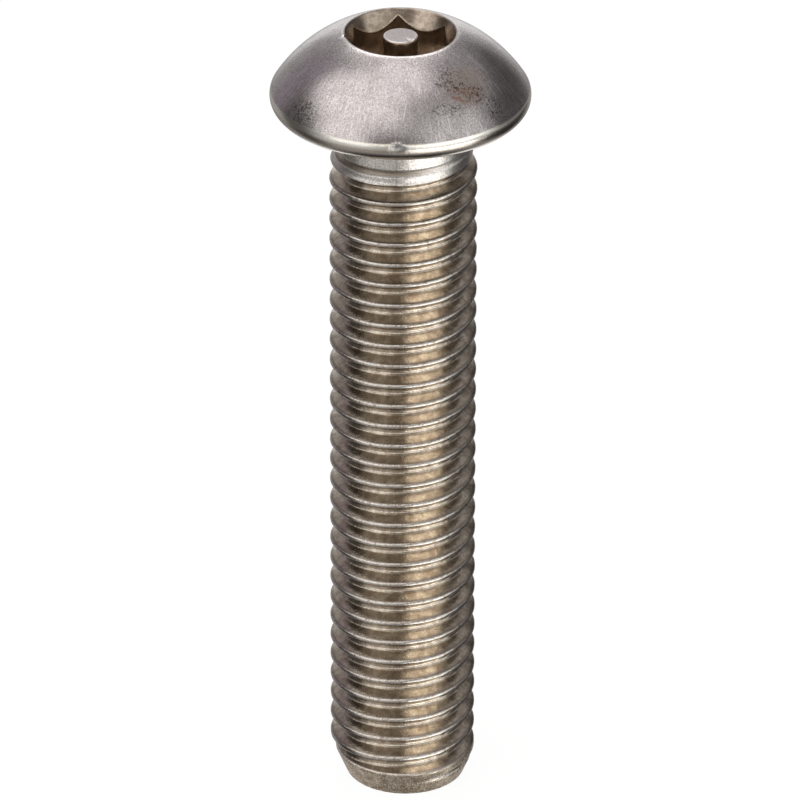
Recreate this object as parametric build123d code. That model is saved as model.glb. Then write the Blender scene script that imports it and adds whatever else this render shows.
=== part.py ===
"""Tamper-resistant button head screw, M10 x 1.5 x 50, with a pin-in-hex drive.

One piece of stainless steel: the head is cold forged with its socket and pin, and the
thread is rolled on the shank below a plain neck. The screw stands on its chamfered
end. The origin is the centre of the end face, +Z runs up the axis to the head, and
one corner of the hexagon points along +Y.
"""

import math
import os

from build123d import *

# ---- head, in millimetres; heights are above the bearing face ----
LENGTH = 50.0  # end face to bearing face
HEAD_HEIGHT = 5.5
HEAD_R = 8.6
LIP_HEIGHT = 1.49
TOP_FLAT_R = 3.73  # where the dome ends, just outside the socket's mouth
DOME_EDGE = 0.1  # the dome meets the lip this far inside the head's radius
BEARING_EDGE = 1.0  # and the flat bearing face ends this far inside it
LIP = [(0.50, 0.134), (0.15, 0.457), (0.0, 0.84)]  # (inside HEAD_R, share of height)

# ---- shank and thread ----
PITCH = 1.5
MAJOR_R = 4.89
THREAD_DEPTH = PITCH * math.sqrt(3) / 2 * 5 / 8
MINOR_R = MAJOR_R - THREAD_DEPTH
FLANK = math.radians(30)  # half of the thread angle
ROOT_FLAT = PITCH / 4
CREST_START = 0.657  # height of the first crest where it crosses +X
NECK_R = 4.6  # the plain neck keeps about the size of the rolling blank
NECK_FILLET = [(0.0, -0.4), (0.4, 0.0)]  # (out from the neck, height)
TAPER_TOP = 46.65  # the ramp from the neck out to the full thread
TAPER_LOW = 46.2
GROOVE_TOP = 46.4  # above this height the groove runs out within one more turn
RUN_OUT_ANGLE = 19.8  # degrees; how fast the root climbs away from the axis
END_R = 4.0  # flat end face
END_CHAMFER = 2.1  # height of the chamfered end

# ---- socket; depths are below the top of the head ----
HEX_FLATS = 6.0
SOCKET_DEPTH = 3.4
MOUTH_R = 3.66  # rim of the countersunk mouth
MOUTH_DEPTH = 1.3
MOUTH_SLOPE = math.tan(math.radians(28.4))
PIN_R = 1.15
PIN_DEPTH = 0.25  # the pin's top lies this far down
PIN_EDGE = 0.12
PIN_ROOT = 0.5  # how far the pin is carried into the metal under the socket

TOP = LENGTH + HEAD_HEIGHT
BOTTOM_UP = (Align.CENTER, Align.CENTER, Align.MIN)


def dome_points():
    """Edge, middle and top of the dome: an arc centred on the axis."""
    low = (HEAD_R - DOME_EDGE, LIP_HEIGHT)
    high = (TOP_FLAT_R, HEAD_HEIGHT)
    gain = (high[1] ** 2 + high[0] ** 2) - (low[1] ** 2 + low[0] ** 2)
    centre = gain / (2 * (high[1] - low[1]))
    mid_r = (low[0] + high[0]) / 2
    mid_up = centre + math.sqrt(low[0] ** 2 + (low[1] - centre) ** 2 - mid_r**2)
    return [(r, LENGTH + up) for r, up in (low, (mid_r, mid_up), high)]


def blank():
    """The screw before its thread and socket: one profile turned about Z."""
    edge, mid, top = dome_points()
    side = [
        (0, 0),
        (END_R, 0),
        (MAJOR_R, END_CHAMFER),
        (MAJOR_R, TAPER_LOW),
        (NECK_R, TAPER_TOP),
        *((NECK_R + out, LENGTH + up) for out, up in NECK_FILLET),
        (HEAD_R - BEARING_EDGE, LENGTH),
        *((HEAD_R - inside, LENGTH + up * LIP_HEIGHT) for inside, up in LIP),
        edge,
    ]
    with BuildPart() as turned:
        with BuildSketch(Plane.XZ):
            with BuildLine():
                Polyline(*side)
                ThreePointArc(edge, mid, top)
                Polyline(top, (0, TOP), (0, 0))
            make_face()
        revolve(axis=Axis.Z)
    return turned.part


def groove_section(height):
    """Section of the thread groove in the XZ plane, open a little past the crests."""
    out = MAJOR_R + 0.08
    half_in = ROOT_FLAT / 2
    half_out = half_in + (out - MINOR_R) * math.tan(FLANK)
    with BuildSketch(Plane.XZ) as section:
        with BuildLine():
            Polyline(
                (MINOR_R, height - half_in),
                (out, height - half_out),
                (out, height + half_out),
                (MINOR_R, height + half_in),
                close=True,
            )
        make_face()
    return section.sketch


def groove():
    """The right-hand thread groove turn by turn, and the last turn as it runs out."""
    low = CREST_START - PITCH / 2
    turns = math.floor((GROOVE_TOP + 0.01 - low) / PITCH)
    high = low + turns * PITCH
    path = Helix(PITCH, PITCH, MINOR_R, center=(0, 0, low))
    turn = sweep(groove_section(low), path=path, is_frenet=True)
    rising = Helix(PITCH, PITCH, MINOR_R, center=(0, 0, high), cone_angle=RUN_OUT_ANGLE)
    run_out = sweep(groove_section(high), path=rising, is_frenet=True)
    return [Pos(0, 0, k * PITCH) * turn for k in range(turns)] + [run_out]


def socket():
    """The hexagonal hole and its countersunk mouth."""
    with BuildPart() as hole:
        with BuildSketch(Plane.XY.offset(TOP - SOCKET_DEPTH)):
            RegularPolygon(HEX_FLATS / 2, 6, major_radius=False, rotation=30)
        extrude(amount=SOCKET_DEPTH + 1)
    above = 0.5
    mouth = Cone(
        MOUTH_R - MOUTH_DEPTH * MOUTH_SLOPE,
        MOUTH_R + above * MOUTH_SLOPE,
        MOUTH_DEPTH + above,
        align=BOTTOM_UP,
    )
    return hole.part, Pos(0, 0, TOP - MOUTH_DEPTH) * mouth


def pin():
    with BuildPart() as post:
        with Locations((0, 0, TOP - SOCKET_DEPTH - PIN_ROOT)):
            Cylinder(PIN_R, SOCKET_DEPTH + PIN_ROOT - PIN_DEPTH, align=BOTTOM_UP)
        chamfer(post.edges().group_by(Axis.Z)[-1], PIN_EDGE)
    return post.part


def main():
    os.makedirs("parts", exist_ok=True)
    screw = blank().cut(*groove())
    for tool in socket():
        screw -= tool
    screw += pin()
    export_step(screw.solid(), "parts/screw.step")


main()
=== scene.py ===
import math

import bmesh
import bpy
from mathutils import Matrix, Vector


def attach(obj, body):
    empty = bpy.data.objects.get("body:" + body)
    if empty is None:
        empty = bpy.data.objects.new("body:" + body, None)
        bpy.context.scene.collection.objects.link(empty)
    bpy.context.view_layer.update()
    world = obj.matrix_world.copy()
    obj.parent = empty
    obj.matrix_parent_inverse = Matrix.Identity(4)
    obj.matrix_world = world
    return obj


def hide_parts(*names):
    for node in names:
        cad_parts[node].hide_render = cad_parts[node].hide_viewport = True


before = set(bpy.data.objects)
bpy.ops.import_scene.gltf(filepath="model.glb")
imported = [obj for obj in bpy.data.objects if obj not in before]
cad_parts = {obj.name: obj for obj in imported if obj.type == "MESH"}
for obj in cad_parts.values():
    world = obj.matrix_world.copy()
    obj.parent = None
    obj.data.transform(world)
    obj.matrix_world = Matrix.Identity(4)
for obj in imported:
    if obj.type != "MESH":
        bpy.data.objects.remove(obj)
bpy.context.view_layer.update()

# --------------------------------------------------------------------------- sizes, in mm
# The axis is Z. The end face is at 0, the bearing face of the head at LENGTH.
MM = 0.001
LENGTH = 50.0
TOP = 55.5

# The head: a thin lip over a flat bearing face, then a dome up to a narrow flat.
HEAD_R = 8.6
LIP_WALL = 51.05
LIP_CORNER = [(8.598, 51.12), (8.588, 51.20), (8.572, 51.28), (8.552, 51.36), (8.53, 51.42),
              (8.51, 51.465)]
BEARING_R = 7.5
BEARING_STEPS = (5.2, 6.4, 7.3)
DOME_RIM_R = 8.5
DOME_CENTRE = 46.221
DOME_R = 10.0
TOP_FLAT_R = 3.73
NECK_R = 4.6
NECK_STEP = 48.9
NECK_FILLET = 0.4

# The socket: a flared round mouth, six flats and a pin with a round root.
HEX_FLATS = 6.0
HEX_CORNER_R = 3.445
SOCKET_DEPTH = 3.4
MOUTH_R = 3.66
MOUTH_SLOPE = 0.5407
PIN_R = 1.15
PIN_ROOT = 0.5
PIN_EDGE = 0.12
PIN_TOP = TOP - 0.25
PIN_CROWN = 0.01

# The rolled thread. Turns are counted up from the end face.
PITCH = 1.5
MAJOR_R = 4.89
THREAD_DEPTH = 0.812
ROOT_FLAT = 0.375
FLANK = math.radians(30)
FIRST_ROOT = -0.093
TURNS = 34
TURNS_BELOW = 1.0
CREST_EDGE = 0.13
# Small bites out of the crests, which start at CREST_FROM and are deepest at CREST_FULL.
CREST_WEAR = 0.04
CREST_FROM = 4.6
CREST_FULL = 4.85
WEAR_R = 5.0
WEAR_SEED = 7.0
SEED_STEP = 100.0
# The groove climbs out of the steel under the head, and starts shallow at the end.
RUN_OUT_TURN = 31.0
RUN_OUT_CLIMB = 0.540
RUN_OUT_DROP = 0.20
RUN_IN_TURN = 1.9
RUN_IN_CLIMB = 0.42

# The blank that is rolled: a ramp down to the neck, and a chamfered end that is a little off.
RAMP_LOW = 46.2
RAMP_TOP = 46.65
RAMP_SOFT = 0.08
END_R = 4.0
END_CHAMFER = 2.1
END_OFFSET = 0.20
END_CORNER = 0.10
END_CORNER_SLOPE = 2.5
END_SOFT = 0.05

# The shank's skin ends at JOIN and the head's starts JOIN_GAP above it. The head was forged
# a little off the shank's axis, and moves over between OFFSET_FROM and OFFSET_RISE above.
JOIN = 48.2
JOIN_GAP = 0.25
HEAD_OFFSET = Vector((-0.20, 0.0, 0.0))
OFFSET_FROM = 48.6
OFFSET_RISE = 1.2

# How finely the skin is divided, and what is welded, trimmed and shaded as an edge.
ROUND_HEAD = 192
ROUND_THREAD = 72
ACROSS_THREAD = 32
WELD = 0.004
TRIM = 1e-5
AT_RIM = 0.01
SHARP_ANGLE = math.radians(38)


# --------------------------------------------------------------------------- node trees
class Reading:
    """A socket of a node tree. Arithmetic on it adds the Math nodes that it needs."""

    def __init__(self, bench, socket):
        self.bench = bench
        self.socket = socket

    def __add__(self, other):
        return self.bench.math("ADD", self, other)

    def __radd__(self, other):
        return self.bench.math("ADD", other, self)

    def __sub__(self, other):
        return self.bench.math("SUBTRACT", self, other)

    def __rsub__(self, other):
        return self.bench.math("SUBTRACT", other, self)

    def __mul__(self, other):
        return self.bench.math("MULTIPLY", self, other)

    def __rmul__(self, other):
        return self.bench.math("MULTIPLY", other, self)

    def __truediv__(self, other):
        return self.bench.math("DIVIDE", self, other)

    def __rtruediv__(self, other):
        return self.bench.math("DIVIDE", other, self)

    def __abs__(self):
        return self.bench.math("ABSOLUTE", self)


class Bench:
    """A node tree that is being filled."""

    def __init__(self, tree):
        self.tree = tree

    def plug(self, socket, value):
        """Links a reading to the socket, or sets a plain value on it."""
        if isinstance(value, Reading):
            self.tree.links.new(value.socket, socket)
        else:
            socket.default_value = value

    def node(self, kind, settings=None, inputs=None, output=0):
        """A new node of this kind, read from the output with this number, if it has any."""
        made = self.tree.nodes.new(kind)
        for name, value in (settings or {}).items():
            setattr(made, name, value)
        for key, value in (inputs or {}).items():
            self.plug(made.inputs[key], value)
        return Reading(self, made.outputs[output]) if len(made.outputs) else made

    def math(self, operation, *values):
        inputs = dict(enumerate(values))
        return self.node("ShaderNodeMath", {"operation": operation}, inputs)

    def least(self, one, other, softness=0.0):
        if softness:
            return self.math("SMOOTH_MIN", one, other, softness)
        return self.math("MINIMUM", one, other)

    def most(self, one, other, softness=0.0):
        if softness:
            return self.math("SMOOTH_MAX", one, other, softness)
        return self.math("MAXIMUM", one, other)

    def rise(self, value, low, high):
        """0 below low, 1 above high, smooth between; low may be the larger of the two."""
        if low > high:
            return 1 - self.rise(value, high, low)
        settings = {"interpolation_type": "SMOOTHSTEP", "clamp": True}
        inputs = {"Value": value, "From Min": low, "From Max": high}
        return self.node("ShaderNodeMapRange", settings, inputs)

    def split(self, vector):
        """The three parts of a vector."""
        made = self.tree.nodes.new("ShaderNodeSeparateXYZ")
        self.plug(made.inputs[0], vector)
        return [Reading(self, socket) for socket in made.outputs]

    def vector(self, x, y, z):
        return self.node("ShaderNodeCombineXYZ", None, {0: x, 1: y, 2: z})

    def blend(self, factor, one, other):
        """From colour one to colour other as factor goes from 0 to 1."""
        settings = {"data_type": "RGBA", "clamp_factor": True}
        return self.node("ShaderNodeMix", settings, {0: factor, 6: one, 7: other}, 2)

    def noise(self, place, scale, detail, rough):
        inputs = {"Vector": place, "Scale": scale, "Detail": detail, "Roughness": rough}
        return self.node("ShaderNodeTexNoise", {"noise_dimensions": "3D"}, inputs)


# --------------------------------------------------------------------------- rolled thread
THREAD_INPUTS = {
    "Pitch": PITCH, "Crest Radius": MAJOR_R, "Depth": THREAD_DEPTH, "Root Flat": ROOT_FLAT,
    "Flank Slope": 1 / math.tan(FLANK), "First Root": FIRST_ROOT,
    "Turns Below": TURNS_BELOW, "Run-out Turn": RUN_OUT_TURN,
    "Run-out Climb": RUN_OUT_CLIMB, "Run-out Drop": RUN_OUT_DROP,
    "End Offset": END_OFFSET, "Run-in Turn": RUN_IN_TURN, "Run-in Climb": RUN_IN_CLIMB,
    "Ramp Low": RAMP_LOW, "Ramp Top": RAMP_TOP, "Neck Radius": NECK_R, "End Radius": END_R,
    "End Chamfer": END_CHAMFER, "Crest Edge": CREST_EDGE, "Crest Wear": CREST_WEAR,
    "Wear Seed": WEAR_SEED,
}
THREAD_COUNTS = {"Turns": TURNS, "Steps Round": ROUND_THREAD, "Steps Across": ACROSS_THREAD}
RAGGED = (1.6, 4.0, 0.65)


def thread_tree():
    """One groove and half a crest each side of it, as a strip wound up the shank."""
    tree = bpy.data.node_groups.new("rolled_thread", "GeometryNodeTree")
    face = tree.interface
    names = {}
    for name in THREAD_INPUTS:
        names[name] = face.new_socket(name, in_out="INPUT", socket_type="NodeSocketFloat")
    for name in THREAD_COUNTS:
        names[name] = face.new_socket(name, in_out="INPUT", socket_type="NodeSocketInt")
    names["Steel"] = face.new_socket("Steel", in_out="INPUT",
                                     socket_type="NodeSocketMaterial")
    face.new_socket("Geometry", in_out="OUTPUT", socket_type="NodeSocketGeometry")

    bench = Bench(tree)
    entry = tree.nodes.new("NodeGroupInput")
    size = {name: Reading(bench, entry.outputs[name]) for name in names}
    columns = size["Turns"] * size["Steps Round"]
    strip = bench.node("GeometryNodeMeshGrid", None, {
        "Size X": 1.0, "Size Y": 1.0,
        "Vertices X": size["Steps Across"] + 1, "Vertices Y": columns + 1})
    across, along, _ = bench.split(bench.node("GeometryNodeInputPosition"))
    turn = (along + 0.5) * size["Turns"] - size["Turns Below"]
    offset = across * size["Pitch"]
    height = size["First Root"] + turn * size["Pitch"] + offset
    angle = bench.math("FRACT", turn) * math.tau
    toward_x = bench.math("COSINE", angle)
    toward_y = bench.math("SINE", angle)

    blank = blank_radius(bench, size, height, toward_x)
    root = size["Crest Radius"] - size["Depth"]
    past = bench.most(turn - size["Run-out Turn"], 0.0)
    climb = past * size["Run-out Climb"]
    enter = bench.most(size["Run-in Turn"] - turn, 0.0) * size["Run-in Climb"]
    aside = abs(offset + past * size["Run-out Drop"])
    groove = root + climb + enter + groove_section(bench, size, aside)
    rolled = bench.least(groove, blank, size["Crest Edge"])
    there = bench.vector(toward_x * WEAR_R, toward_y * WEAR_R,
                         height + size["Wear Seed"] * SEED_STEP)
    ragged = bench.rise(bench.noise(there, *RAGGED), 0.52, 0.80)
    bite = ragged * size["Crest Wear"]
    radius = rolled - bite * bench.rise(rolled, CREST_FROM, CREST_FULL)

    place = bench.vector(toward_x * radius, toward_y * radius, height)
    marked = bench.node("GeometryNodeStoreNamedAttribute",
                        {"data_type": "FLOAT", "domain": "POINT"},
                        {"Geometry": strip, "Name": "cut", "Value": blank - radius})
    wound = bench.node("GeometryNodeSetPosition", None,
                       {"Geometry": marked, "Position": place})
    joined = bench.node("GeometryNodeMergeByDistance", None,
                        {"Geometry": wound, "Distance": WELD})
    real = bench.node("GeometryNodeRealizeInstances", None, {"Geometry": joined})
    faced = bench.node("GeometryNodeSetMaterial", None,
                       {"Geometry": real, "Material": size["Steel"]})
    leave = tree.nodes.new("NodeGroupOutput")
    bench.plug(leave.inputs[0], faced)
    return tree, {name: item.identifier for name, item in names.items()}


def groove_section(bench, size, aside):
    """Height of the groove's wall over its root: a full-round root and straight flanks."""
    straight = (aside - size["Root Flat"] / 2) * size["Flank Slope"]
    root_arc = size["Root Flat"] / 2 * size["Flank Slope"]
    below = bench.most(root_arc * root_arc - aside * aside, 0.0)
    hollow = root_arc - bench.math("SQRT", below)
    in_root = bench.math("LESS_THAN", aside, root_arc * math.cos(FLANK))
    return straight + (hollow - straight) * in_root


def blank_radius(bench, size, height, toward_x):
    """Radius of the shank before the groove is rolled into it; its end is a little off."""
    cone_slope = (size["Crest Radius"] - size["End Radius"]) / size["End Chamfer"]
    end = size["End Radius"] + toward_x * size["End Offset"]
    cone = end + height * cone_slope
    corner = end - END_CORNER + height * END_CORNER_SLOPE
    fall = (size["Crest Radius"] - size["Neck Radius"]) / (size["Ramp Top"] - size["Ramp Low"])
    ramp = size["Crest Radius"] - (height - size["Ramp Low"]) * fall
    upper = bench.most(ramp, size["Neck Radius"], RAMP_SOFT)
    tip = bench.least(cone, corner, END_SOFT)
    lower = bench.least(tip, size["Crest Radius"], END_SOFT)
    return bench.least(lower, upper, END_SOFT)


def thread_mesh(steel):
    """The wound strip as a plain mesh, in mm."""
    tree, sockets = thread_tree()
    carrier = bpy.data.objects.new("thread_carrier", bpy.data.meshes.new("thread_carrier"))
    bpy.context.scene.collection.objects.link(carrier)
    rolling = carrier.modifiers.new("rolling", "NODES")
    rolling.node_group = tree
    for name, value in {**THREAD_INPUTS, **THREAD_COUNTS, "Steel": steel}.items():
        rolling[sockets[name]] = value
    wound = carrier.evaluated_get(bpy.context.evaluated_depsgraph_get())
    mesh = bpy.data.meshes.new_from_object(wound)
    carrier.modifiers.remove(rolling)
    bpy.data.objects.remove(carrier)
    return mesh


# --------------------------------------------------------------------------- head and socket
def hex_reach(angle):
    """Distance from the axis to the socket's wall; a corner lies at +Y."""
    from_flat = (angle + math.pi / 6) % (math.pi / 3) - math.pi / 6
    return min(HEX_FLATS / 2 / math.cos(from_flat), HEX_CORNER_R)


def arc(centre, radius, start, stop, steps):
    """Points (radius, height) on a circle round centre, from start to stop degrees."""
    points = []
    for step in range(steps + 1):
        angle = math.radians(start + (stop - start) * step / steps)
        points.append((centre[0] + radius[0] * math.cos(angle),
                       centre[1] + radius[1] * math.sin(angle)))
    return points


def outer_rings():
    """Neck, fillet, bearing face, lip and dome, up to the edge of the opening."""
    rings = [(NECK_R, JOIN + JOIN_GAP), (NECK_R, NECK_STEP),
             (NECK_R, LENGTH - NECK_FILLET - 0.1)]
    rings += arc((NECK_R + NECK_FILLET, LENGTH - NECK_FILLET), (NECK_FILLET, NECK_FILLET),
                 180, 90, 6)
    rings += [(reach, LENGTH) for reach in BEARING_STEPS]
    lip_drop = LIP_WALL - LENGTH
    rings += arc((BEARING_R, LIP_WALL), (HEAD_R - BEARING_R, lip_drop), -88, 0, 12)
    rings += LIP_CORNER
    first = math.degrees(math.acos(DOME_RIM_R / DOME_R))
    last = math.degrees(math.acos((TOP_FLAT_R + 0.03) / DOME_R))
    rings += arc((0, DOME_CENTRE), (DOME_R, DOME_R), first + 0.2, last, 26)
    rings += [(TOP_FLAT_R - 0.01, TOP - 0.008), (MOUTH_R + 0.03, TOP - 0.004),
              (MOUTH_R + 0.002, TOP - 0.02)]
    return [lambda angle, ring=ring: ring for ring in rings]


def mouth_ring(share):
    """A ring of the flared mouth, share of the way down to the wall."""
    def place(angle):
        depth = share * (MOUTH_R - hex_reach(angle)) / MOUTH_SLOPE
        return MOUTH_R - MOUTH_SLOPE * depth, TOP - depth
    return place


def wall_ring(share):
    """A ring of the socket's wall, share of the way from the mouth to the floor."""
    def place(angle):
        start = (MOUTH_R - hex_reach(angle)) / MOUTH_SLOPE
        depth = start + (SOCKET_DEPTH - start) * share
        return hex_reach(angle), TOP - depth
    return place


def floor_ring(share):
    """A ring of the socket's floor, share of the way from the wall to the pin."""
    def place(angle):
        reach = hex_reach(angle)
        return reach + (PIN_R + PIN_ROOT - reach) * share, TOP - SOCKET_DEPTH
    return place


def inner_rings():
    """Mouth, socket walls, floor and the pin, up to the middle of the pin's top."""
    rings = [mouth_ring(share) for share in (0.08, 0.3, 0.55, 0.8, 0.96)]
    rings += [wall_ring(share) for share in (0.015, 0.12, 0.3, 0.5, 0.7, 0.88, 0.97)]
    rings += [floor_ring(share) for share in (0.06, 0.5, 1.0)]
    floor = TOP - SOCKET_DEPTH
    pin = arc((PIN_R + PIN_ROOT, floor + PIN_ROOT), (PIN_ROOT, PIN_ROOT), -110, -180, 4)
    pin += [(PIN_R, floor + 1.2), (PIN_R, PIN_TOP - 0.8), (PIN_R, PIN_TOP - 0.3)]
    pin += arc((PIN_R - PIN_EDGE, PIN_TOP - PIN_EDGE), (PIN_EDGE, PIN_EDGE), 0, 90, 5)
    pin += [(0.8, PIN_TOP + 0.004), (0.5, PIN_TOP + 0.008), (0.2, PIN_TOP + PIN_CROWN)]
    return rings + [lambda angle, ring=ring: ring for ring in pin]


# Small dents: the middle (x, y, z), the reach, and how far the steel is pushed (x, y, z).
DENTS = [
    ((-0.69, -8.55, 51.25), 0.42, (0.0, 0.15, -0.03)),
    ((0.55, -0.75, PIN_TOP), 0.33, (0.0, 0.0, -0.09)),
    ((-3.70, -0.45, TOP), 0.30, (-0.10, 0.0, -0.08)),
]


def head_rings(bm):
    """The lattice of the head, set a little off the shank's axis, as it was forged."""
    rows = []
    for ring in outer_rings() + inner_rings():
        row = []
        for step in range(ROUND_HEAD):
            angle = math.tau * step / ROUND_HEAD
            radius, height = ring(angle)
            row.append(bm.verts.new((radius * math.cos(angle), radius * math.sin(angle),
                                     height)))
        rows.append(row)
    for low, high in zip(rows, rows[1:]):
        for step in range(ROUND_HEAD):
            after = (step + 1) % ROUND_HEAD
            bm.faces.new((low[step], low[after], high[after], high[step]))
    middle = bm.verts.new((0.0, 0.0, PIN_TOP + PIN_CROWN))
    for step in range(ROUND_HEAD):
        bm.faces.new((rows[-1][step], rows[-1][(step + 1) % ROUND_HEAD], middle))
    for vert in [middle] + [vert for row in rows for vert in row]:
        for place, reach, push in DENTS:
            near = (vert.co - Vector(place)).length / reach
            if near < 1:
                vert.co += Vector(push) * (1 - near * near) ** 2
        share = min(max((vert.co.z - OFFSET_FROM) / OFFSET_RISE, 0.0), 1.0)
        vert.co += HEAD_OFFSET * share


def rim(bm, height):
    """The open edges that lie at this height."""
    return [edge for edge in bm.edges if edge.is_boundary
            and all(abs(vert.co.z - height) < AT_RIM for vert in edge.verts)]


def screw_piece(steel):
    """The whole screw as one closed skin."""
    bm = bmesh.new()
    rolled = thread_mesh(steel)
    bm.from_mesh(rolled)
    bpy.data.meshes.remove(rolled)
    bmesh.ops.remove_doubles(bm, verts=bm.verts, dist=WELD)
    for height, up in ((0.0, -1.0), (JOIN, 1.0)):
        bmesh.ops.bisect_plane(bm, geom=bm.verts[:] + bm.edges[:] + bm.faces[:], dist=TRIM,
                               plane_co=(0, 0, height), plane_no=(0, 0, up),
                               clear_outer=True)
    end = bmesh.ops.contextual_create(bm, geom=rim(bm, 0.0))["faces"]
    bmesh.ops.poke(bm, faces=end)
    lower = rim(bm, JOIN)
    head_rings(bm)
    upper = rim(bm, JOIN + JOIN_GAP)
    bmesh.ops.bridge_loops(bm, edges=lower + upper)
    bmesh.ops.recalc_face_normals(bm, faces=bm.faces[:])
    bm.transform(Matrix.Scale(MM, 4))
    mesh = bpy.data.meshes.new("screw_skin")
    bm.to_mesh(mesh)
    bm.free()
    mesh.shade_smooth()
    mesh.set_sharp_from_angle(angle=SHARP_ANGLE)
    mesh.materials.clear()
    mesh.materials.append(steel)
    piece = bpy.data.objects.new("screw_skin", mesh)
    bpy.context.scene.collection.objects.link(piece)
    return piece


# --------------------------------------------------------------------------- stainless steel
# Where one finish gives way to the next, in mm: the value where it starts, and the one where
# it is full. A cut is how deep a point of the thread lies under the blank.
WORN_CUT = (0.11, 0.04)
HEAD_Z = (49.8, 50.05)
NECK_Z = (46.2, 46.5)
NECK_BARE_Z = (46.0, 46.4)
SOCKET_R = (3.72, 3.64)
SOCKET_Z = (51.0, 51.5)
FACE_R = (3.77, 3.73)
FACE_Z = (TOP - 0.05, TOP - 0.02)
PIN_FACE_R = (1.22, 1.12)
PIN_FACE_Z = (PIN_TOP - 0.08, PIN_TOP - 0.02)
PIN_RIM_R = (0.98, 1.08)
TIP_Z = (2.3, 1.8)
TIP_CUT = (0.25, 0.08)
# Heights of the lip's band of painted highlight, and of the painted shade that takes over under
# the head.
LIP_PAINTED_Z = (51.50, 51.44)
LIP_SHADE_Z = (51.12, 50.95)

# Noise in the steel: scale per mm, detail and roughness.
GRAIN = (11.0, 3.0, 0.75)
MOTTLE = (1.6, 4.0, 0.65)
STREAK = (1.0, 2.0, 0.6)
STAIN = (0.9, 4.0, 0.7)
BREAKS = (4.0, 3.0, 0.7)
CLOUDS = (1.1, 3.0, 0.6)
PATCHES = (3.6, 4.0, 0.75)
HOLES = (5.5, 3.0, 0.7)
# The streaks are fine round the head and long down its dome.
STREAKS_ROUND = 70
STREAKS_OUT = 2.6
STREAKS_UP = 0.9

# The roughness of clean steel, and what each place adds to it.
SMOOTH_STEEL = 0.10
ROUGHER_HEAD = 0.08
ROUGHER_NECK = 0.22
ROUGHER_GRAIN = 0.10
ROUGHER_TIP = 0.22
ROUGHER_PIN = 0.12
DULLER_TIP = 0.35

# Colours of the shank.
FILM_DARK = (0.43, 0.365, 0.295, 1)
FILM_PALE = (0.69, 0.62, 0.52, 1)
FILM_STAIN = (0.42, 0.30, 0.21, 1)
FILM_SPECK = (0.26, 0.22, 0.18, 1)
# Painted shade: a dark band on the flanks next to each crest.
CREST_PAINTED_SHADE = (0.20, 0.17, 0.14, 1)
CREST_DULL = (0.54, 0.515, 0.48, 1)
CREST_BRIGHT = (0.74, 0.72, 0.69, 1)
NECK_DULL = (0.52, 0.49, 0.45, 1)
NECK_BRIGHT = (0.93, 0.91, 0.88, 1)
PARTING_DARK = (0.33, 0.31, 0.28, 1)
# Chalky steel of the cut end, made paler still as painted light on a chamfer that faces the
# dark ground.
TIP_CHALK_AND_PAINTED_LIGHT = (0.95, 0.86, 0.70, 1)
TIP_BROWN = (0.33, 0.25, 0.18, 1)
TIP_BRIGHT = (0.97, 0.94, 0.88, 1)
# Colours of the head.
DOME_DARK = (0.55, 0.515, 0.51, 1)
DOME_PALE = (0.69, 0.655, 0.65, 1)
DOME_PORE = (0.31, 0.285, 0.28, 1)
DOME_GLINT = (0.92, 0.88, 0.88, 1)
DOME_STREAK = (0.92, 0.89, 0.89, 1)
PIT_DARK = (0.10, 0.08, 0.075, 1)
SCRATCH_BRIGHT = (0.92, 0.90, 0.89, 1)
# Painted highlight along the top of the lip, and painted shade on its lower side and under the
# head.
LIP_PAINTED_HIGHLIGHT = (0.92, 0.90, 0.82, 1)
LIP_PAINTED_SHADE = (0.50, 0.45, 0.39, 1)
FACE_DULL = (0.27, 0.25, 0.24, 1)
# Colours of the socket.
SOCKET_DARK = (0.41, 0.33, 0.26, 1)
SOCKET_PALE = (0.60, 0.52, 0.43, 1)
SOCKET_SPECK = (0.22, 0.175, 0.14, 1)
PIN_PALE = (0.50, 0.46, 0.46, 1)
PIN_DARK = (0.31, 0.28, 0.28, 1)
PIN_BRIGHT = (0.85, 0.82, 0.80, 1)

# Marks on the head: (x, y, z) from its axis, reach along x, y, z, and the colour left there.
WARM_FILM = ((4.0, -4.9, 53.9), (2.0, 2.0, 1.4), (0.60, 0.51, 0.45, 1))
RUST = ((3.9, -5.5, 53.5), (2.0, 1.1, 0.9), (0.40, 0.215, 0.14, 1))
LIP_BRUISE = ((-0.49, -8.5, 51.2), (0.75, 0.5, 0.34), (0.30, 0.30, 0.31, 1))
PITTED = [
    ((3.0, -5.0, 54.2), (1.5, 1.5, 1.0)),
    ((2.9, -6.75, 53.0), (2.2, 0.6, 0.5)),
    ((5.9, -5.25, 52.4), (0.8, 1.0, 0.9)),
    ((-6.4, -4.7, 52.1), (1.3, 1.4, 1.0)),
    ((4.6, -5.2, 53.4), (1.2, 1.0, 0.8)),
]
# Thin bright scratches: (x, y) from the axis at each end, and the width.
SCRATCHES = [
    ((6.15, -2.35), (7.35, -3.1), 0.035),
    ((6.7, -3.1), (7.6, -3.75), 0.03),
    ((0.1, -6.6), (-0.2, -7.7), 0.035),
    ((4.6, -3.6), (6.1, -5.6), 0.025),
    ((4.1, -2.4), (5.7, -3.3), 0.025),
]
SCRATCH_END = 0.3
# A thin parting line runs down the neck on this side of the axis.
PARTING_SIDE = Vector((-0.67, -4.55)).normalized()


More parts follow.
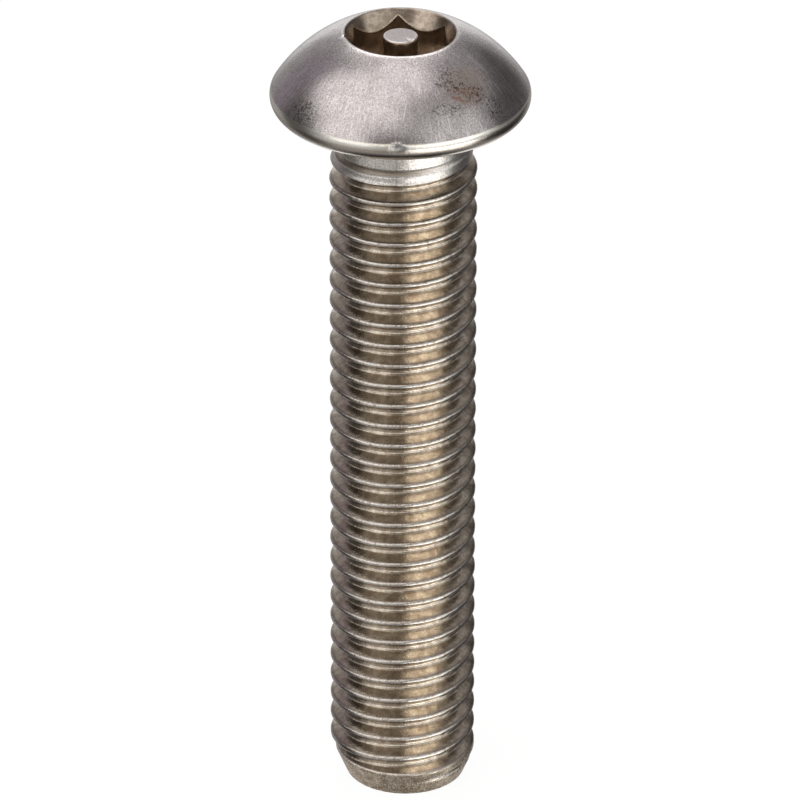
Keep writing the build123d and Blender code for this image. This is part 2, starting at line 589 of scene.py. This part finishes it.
def stainless():
    """Satin steel: worn bright crests, brown grooves and socket, a marked head."""
    material = bpy.data.materials.new("stainless")
    material.use_nodes = True
    material.node_tree.nodes.clear()
    bench = Bench(material.node_tree)
    place = bench.node("ShaderNodeTexCoord", None, None, 3)
    spot = bench.node("ShaderNodeVectorMath", {"operation": "SCALE"},
                      {0: place, "Scale": 1 / MM})
    x, y, z = bench.split(spot)
    head_x = x - HEAD_OFFSET.x
    radius = bench.math("SQRT", head_x * head_x + y * y)
    ray_x = head_x / (radius + 0.001)
    ray_y = y / (radius + 0.001)
    cut = bench.node("ShaderNodeAttribute", {"attribute_name": "cut"}, None, 2)

    worn = bench.rise(cut, *WORN_CUT)
    on_head = bench.rise(z, *HEAD_Z)
    on_neck = bench.rise(z, *NECK_Z) * (1 - on_head)
    in_socket = bench.rise(radius, *SOCKET_R) * bench.rise(z, *SOCKET_Z)
    on_face = bench.rise(radius, *FACE_R) * bench.rise(z, *FACE_Z)
    on_pin = bench.rise(radius, *PIN_FACE_R) * bench.rise(z, *PIN_FACE_Z)
    on_tip = bench.rise(z, *TIP_Z) * bench.rise(cut, *TIP_CUT)

    grain = bench.noise(spot, *GRAIN)
    mottle = bench.noise(spot, *MOTTLE)
    along = radius * STREAKS_OUT + z * STREAKS_UP
    rubbed = bench.vector(ray_x * STREAKS_ROUND, ray_y * STREAKS_ROUND, along)
    streak = bench.noise(rubbed, *STREAK)

    colour = shank_colour(bench, spot, cut, worn, mottle, grain)
    colour = bench.blend(on_tip, colour, tip_colour(bench, cut, mottle, grain))
    colour = bench.blend(on_head, colour,
                         dome_colour(bench, spot, (head_x, y, z), streak, grain))
    colour = bench.blend(on_face * 0.85, colour, FACE_DULL)
    colour = bench.blend(in_socket, colour, socket_colour(bench, mottle, grain))
    colour = bench.blend(on_pin * in_socket, colour, pin_colour(bench, radius, grain))

    rough = SMOOTH_STEEL + on_head * ROUGHER_HEAD + on_neck * ROUGHER_NECK
    rough = rough + grain * ROUGHER_GRAIN + on_tip * ROUGHER_TIP
    rough = rough + on_pin * in_socket * ROUGHER_PIN
    relief = grain * 0.8 + streak * on_head * 0.25 + mottle * (1 - on_head) * 2.2
    skin = bench.node("ShaderNodeBump", None,
                      {"Strength": 0.45, "Distance": 0.00002, "Height": relief})
    steel = bench.node("ShaderNodeBsdfPrincipled", None, {
        "Base Color": colour, "Metallic": 1 - on_tip * DULLER_TIP, "Roughness": rough,
        "Normal": skin})
    bench.node("ShaderNodeOutputMaterial", None, {"Surface": steel})
    return material


def shank_colour(bench, spot, cut, worn, mottle, grain):
    """Brown film in the grooves, with painted shade on the flanks beside each crest, rubbed
    through to bright steel on crests and neck.
    """
    film = bench.blend(bench.rise(mottle, 0.32, 0.68), FILM_DARK, FILM_PALE)
    stained = bench.rise(bench.noise(spot, *STAIN), 0.56, 0.72)
    film = bench.blend(stained * 0.6, film, FILM_STAIN)
    film = bench.blend(bench.rise(grain, 0.52, 0.66) * 0.6, film, FILM_SPECK)
    # Painted shade: the film darkens in a band on the flanks next to each crest.
    crest_shade = bench.rise(cut, 0.03, 0.07) * bench.rise(cut, 0.28, 0.12)
    film = bench.blend(crest_shade * 0.6, film, CREST_PAINTED_SHADE)

    x, y, z = bench.split(spot)
    bare = bench.rise(z, *NECK_BARE_Z)
    broken = bench.rise(bench.noise(spot, *BREAKS), 0.40, 0.52)
    bright = bench.blend(bench.rise(grain, 0.35, 0.65), CREST_DULL, CREST_BRIGHT)
    shank = bench.blend(worn * bench.most(broken, bare), film, bright)
    rubbed = bench.blend(bench.rise(grain, 0.56, 0.46), NECK_DULL, NECK_BRIGHT)
    shank = bench.blend(worn * bare * 0.9, shank, rubbed)

    beside = abs(x * PARTING_SIDE.y - y * PARTING_SIDE.x)
    parted = bench.rise(beside, 0.11, 0.02) * bench.rise(y, -3.0, -4.0)
    parted = parted * bench.rise(z, 46.2, 46.4) * bench.rise(grain, 0.62, 0.42)
    return bench.blend(parted * 0.6, shank, PARTING_DARK)


def tip_colour(bench, cut, mottle, grain):
    """The chamfered end: chalky steel, paled further as painted light, stained in spots, with a
    bright line at the thread.
    """
    spotted = bench.rise(mottle * 0.3 + grain * 0.7, 0.42, 0.56)
    # Partly painted light: the chalky colour is paler than the steel, so the chamfer looks lit.
    tip = bench.blend(spotted, TIP_CHALK_AND_PAINTED_LIGHT, TIP_BROWN)
    line = bench.rise(cut, 0.02, 0.06) * bench.rise(cut, 0.22, 0.12)
    return bench.blend(line * bench.rise(grain, 0.58, 0.50), tip, TIP_BRIGHT)


def socket_colour(bench, mottle, grain):
    """A mottled brown film with dark specks."""
    film = bench.blend(bench.rise(mottle, 0.38, 0.62), SOCKET_DARK, SOCKET_PALE)
    return bench.blend(bench.rise(grain, 0.50, 0.66) * 0.45, film, SOCKET_SPECK)


def pin_colour(bench, radius, grain):
    """The pin's grey top and its bright rim."""
    top = bench.blend(bench.rise(grain, 0.40, 0.60), PIN_PALE, PIN_DARK)
    return bench.blend(bench.rise(radius, *PIN_RIM_R) * 0.8, top, PIN_BRIGHT)


def near(bench, where, middle, reach):
    """1 in the middle of a mark, 0 at its edge and beyond."""
    far = [(axis - centre) / size for axis, centre, size in zip(where, middle, reach)]
    square = far[0] * far[0] + far[1] * far[1] + far[2] * far[2]
    return bench.rise(square, 1.0, 0.15)


def scratch(bench, where, start, stop, width):
    """1 along a thin straight scratch seen from above, 0 beside it."""
    run = Vector(stop) - Vector(start)
    length = run.length
    run.normalize()
    x, y, _ = where
    along = (x - start[0]) * run.x + (y - start[1]) * run.y
    aside = (x - start[0]) * run.y - (y - start[1]) * run.x
    ends = bench.rise(along, 0.0, SCRATCH_END) * bench.rise(along, length, length - SCRATCH_END)
    return bench.rise(abs(aside), width, width * 0.3) * ends


def dome_colour(bench, spot, where, streak, grain):
    """Satin steel with a fine grain, and the stains, pits and scratches of use; a painted
    highlight along the lip and painted shade below it.
    """
    z = where[2]
    cloudy = bench.noise(spot, *CLOUDS)
    steel = bench.blend(bench.rise(streak * 0.5 + cloudy * 0.5, 0.38, 0.62),
                        DOME_DARK, DOME_PALE)
    steel = bench.blend(bench.rise(grain, 0.49, 0.64) * 0.85, steel, DOME_PORE)
    steel = bench.blend(bench.rise(grain, 0.46, 0.32) * 0.75, steel, DOME_GLINT)
    steel = bench.blend(bench.rise(streak, 0.60, 0.70) * 0.6, steel, DOME_STREAK)

    middle, reach, film = WARM_FILM
    steel = bench.blend(near(bench, where, middle, reach) * 0.7, steel, film)
    middle, reach, film = RUST
    patchy = bench.rise(bench.noise(spot, *PATCHES), 0.44, 0.56)
    rusted = near(bench, where, middle, reach) * patchy * bench.rise(grain, 0.36, 0.54)
    steel = bench.blend(rusted * 0.9, steel, film)
    holes = bench.rise(bench.noise(spot, *HOLES), 0.50, 0.60)
    for middle, reach in PITTED:
        pits = near(bench, where, middle, reach) * holes
        steel = bench.blend(pits * 0.92, steel, PIT_DARK)
    for start, stop, width in SCRATCHES:
        line = scratch(bench, where, start, stop, width)
        steel = bench.blend(line * 0.8, steel, SCRATCH_BRIGHT)

    # Painted highlight on the upper lip, and painted shade on its lower side and under the
    # head.
    lip = bench.blend(bench.rise(z, *LIP_SHADE_Z), LIP_PAINTED_HIGHLIGHT, LIP_PAINTED_SHADE)
    steel = bench.blend(bench.rise(z, *LIP_PAINTED_Z) * 0.75, steel, lip)
    middle, reach, bruise = LIP_BRUISE
    return bench.blend(near(bench, where, middle, reach) * 0.8, steel, bruise)


# --------------------------------------------------------------------------- studio
WHITE = (1, 1, 1, 1)
FLOOR_PAINT = (0.90, 0.90, 0.90, 1)
FLOOR_GLOW = 1.05
FLOOR_SHOWN = 0.90
FLOOR_HALF = 3.0


def floor_finish():
    """White to the camera, with the screw's soft shadow left in it."""
    material = bpy.data.materials.new("studio_floor")
    material.use_nodes = True
    material.node_tree.nodes.clear()
    bench = Bench(material.node_tree)
    path = material.node_tree.nodes.new("ShaderNodeLightPath")
    seen = Reading(bench, path.outputs["Is Camera Ray"])
    paint = bench.node("ShaderNodeBsdfDiffuse", None, {"Color": FLOOR_PAINT})
    glow = bench.node("ShaderNodeEmission", None, {"Color": WHITE, "Strength": FLOOR_GLOW})
    both = bench.node("ShaderNodeMixShader", None, {0: seen * FLOOR_SHOWN, 1: paint, 2: glow})
    bench.node("ShaderNodeOutputMaterial", None, {"Surface": both})
    return material


def studio_floor():
    """A wide plane under the screw, which the steel doesn't mirror."""
    mesh = bpy.data.meshes.new("studio_floor")
    corners = [(-FLOOR_HALF, -FLOOR_HALF, 0), (FLOOR_HALF, -FLOOR_HALF, 0),
               (FLOOR_HALF, FLOOR_HALF, 0), (-FLOOR_HALF, FLOOR_HALF, 0)]
    mesh.from_pydata(corners, [], [(0, 1, 2, 3)])
    mesh.materials.append(floor_finish())
    floor = bpy.data.objects.new("studio_floor", mesh)
    bpy.context.scene.collection.objects.link(floor)
    floor.visible_glossy = False


# The soft surround that the steel mirrors. Each panel: azimuth and elevation of its middle,
# half its width and height, the softness of its edge (all in degrees) and its light.
SURROUND = (0.36, 0.345, 0.34, 1)
PANELS = [
    (0, 90, 180, 20, 14, (1.14, 1.08, 1.08, 1)),
    (87, 51, 31, 10, 15, (2.8, 2.75, 2.7, 1)),
    (-151, 45, 61, 29, 17, (1.18, 1.14, 1.12, 1)),
    (-136, 3, 19, 9, 10, (1.52, 1.50, 1.48, 1)),
    (-140, -28, 24, 22, 14, (0.52, 0.50, 0.49, 1)),
    (-53, 5, 30, 11, 10, (1.90, 1.88, 1.85, 1)),
    (-53, -33, 31, 14, 8, (2.6, 2.54, 2.45, 1)),
    (-48, 37, 24, 14, 14, (0.78, 0.77, 0.75, 1)),
    (-106, 35, 21, 11, 10, (0.12, 0.11, 0.105, 1)),
    (-10, 16, 12, 25, 11, (0.93, 0.92, 0.90, 1)),
    (30, 26, 37, 27, 11, (0.34, 0.325, 0.325, 1)),
    (18, -28, 32, 18, 12, (0.035, 0.033, 0.031, 1)),
    (26, 12, 34, 17, 8, (0.085, 0.08, 0.08, 1)),
    (138, 18, 15, 24, 12, (0.27, 0.24, 0.27, 1)),
    (167, -11, 20, 42, 14, (0.08, 0.075, 0.07, 1)),
    (0, -90, 180, 25, 14, (0.03, 0.03, 0.03, 1)),
    (-102, -30, 13, 10, 9, (0.34, 0.32, 0.29, 1)),
    (-95, 12, 26, 5, 7, (1.35, 1.28, 1.15, 1)),
    (85, -55, 30, 11, 14, (1.70, 1.68, 1.64, 1)),
]
# The white backdrop stands behind the screw, and the steel shows it from there.
BACKDROP = (88, 9, 18, 22, 10)


def studio_air():
    """The white backdrop, and the soft panels round the screw that its steel mirrors."""
    world = bpy.data.worlds.new("studio_air")
    world.use_nodes = True
    world.node_tree.nodes.clear()
    bench = Bench(world.node_tree)
    to_x, to_y, to_z = bench.split(bench.node("ShaderNodeTexCoord", None, None, 0))
    level = bench.math("SQRT", to_x * to_x + to_y * to_y) + 0.0001
    elevation = bench.math("ARCTAN2", to_z, level)

    def patch(azimuth, middle, wide, high, soft):
        """1 inside a panel, 0 outside it."""
        way = math.radians(azimuth)
        facing = (to_x * math.cos(way) + to_y * math.sin(way)) / level
        turned = bench.math("ARCCOSINE", bench.least(bench.most(facing, -1.0), 1.0))
        edge = math.radians(soft) / 2
        across = bench.rise(turned, math.radians(wide) + edge, math.radians(wide) - edge)
        aside = abs(elevation - math.radians(middle))
        upright = bench.rise(aside, math.radians(high) + edge, math.radians(high) - edge)
        return across * upright

    light = SURROUND
    for *place, colour in PANELS:
        light = bench.blend(patch(*place), light, colour)
    path = world.node_tree.nodes.new("ShaderNodeLightPath")
    camera_ray, glossy_ray, clear_ray = [
        Reading(bench, path.outputs[name])
        for name in ("Is Camera Ray", "Is Glossy Ray", "Is Transmission Ray")]
    soft = bench.node("ShaderNodeBackground", None, {"Color": light, "Strength": 1.0})
    white = bench.node("ShaderNodeBackground", None, {"Color": WHITE, "Strength": 1.0})
    seen = camera_ray + (glossy_ray + clear_ray) * patch(*BACKDROP)
    both = bench.node("ShaderNodeMixShader", None, {0: seen, 1: soft, 2: white})
    bench.node("ShaderNodeOutputWorld", None, {"Surface": both})
    bpy.context.scene.world = world


# The camera, in metres and degrees; its lens and film are in mm.
CAMERA_PLACE = (-0.02444, -0.49571, 0.29177)
CAMERA_TURN = (62.0333, -0.0795, -2.7578)
CAMERA_LENS = 378.08
CAMERA_FILM = 36.0
CAMERA_CLIP = 0.01


def camera():
    """A long lens that looks down on the screw from the front."""
    lens = bpy.data.cameras.new("camera")
    lens.lens = CAMERA_LENS
    lens.sensor_width = CAMERA_FILM
    lens.clip_start = CAMERA_CLIP
    stand = bpy.data.objects.new("camera", lens)
    stand.location = CAMERA_PLACE
    stand.rotation_euler = [math.radians(turn) for turn in CAMERA_TURN]
    bpy.context.scene.collection.objects.link(stand)
    bpy.context.scene.camera = stand


# --------------------------------------------------------------------------- assembly
screw = screw_piece(stainless())
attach(screw, "root")
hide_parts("screw")

studio_floor()
studio_air()
camera()
bpy.context.scene.view_settings.view_transform = "Standard"
